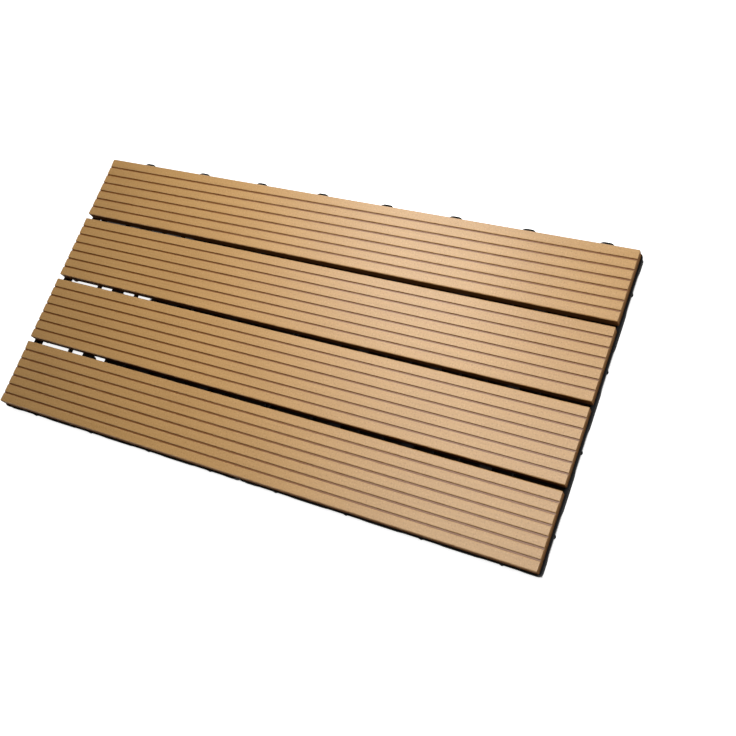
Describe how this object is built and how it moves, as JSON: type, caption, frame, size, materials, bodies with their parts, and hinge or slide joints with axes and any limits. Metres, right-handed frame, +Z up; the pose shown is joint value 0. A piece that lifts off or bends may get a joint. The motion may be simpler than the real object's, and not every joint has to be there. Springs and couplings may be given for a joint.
{
  "type": "interlocking deck tile",
  "caption": "Interlocking outdoor deck tile: grooved wood-plastic slats screwed to moulded plastic bases with loops and pegs that join it to its neighbours.",
  "frame": {"origin": "on the ground, at the centre of the 600 by 300 mm space that the tile takes up in a laid floor", "axes": "+X along the slats, towards the short side with pegs; +Y across the slats, towards the long side with loops; +Z up, out of the walking surface"},
  "size_m": [0.6072, 0.3072, 0.022],
  "materials": {
    "slats": "matt wood-plastic composite, tan brown, with fine speckle",
    "bases": "satin black moulding",
    "screws": "zinc plated"
  },
  "bodies": {
    "root": {"base_left": "bases", "base_right": "bases", "slat_1": "slats", "slat_2": "slats", "slat_3": "slats", "slat_4": "slats", "deck_screws": "screws"}
  },
  "joints": []
}
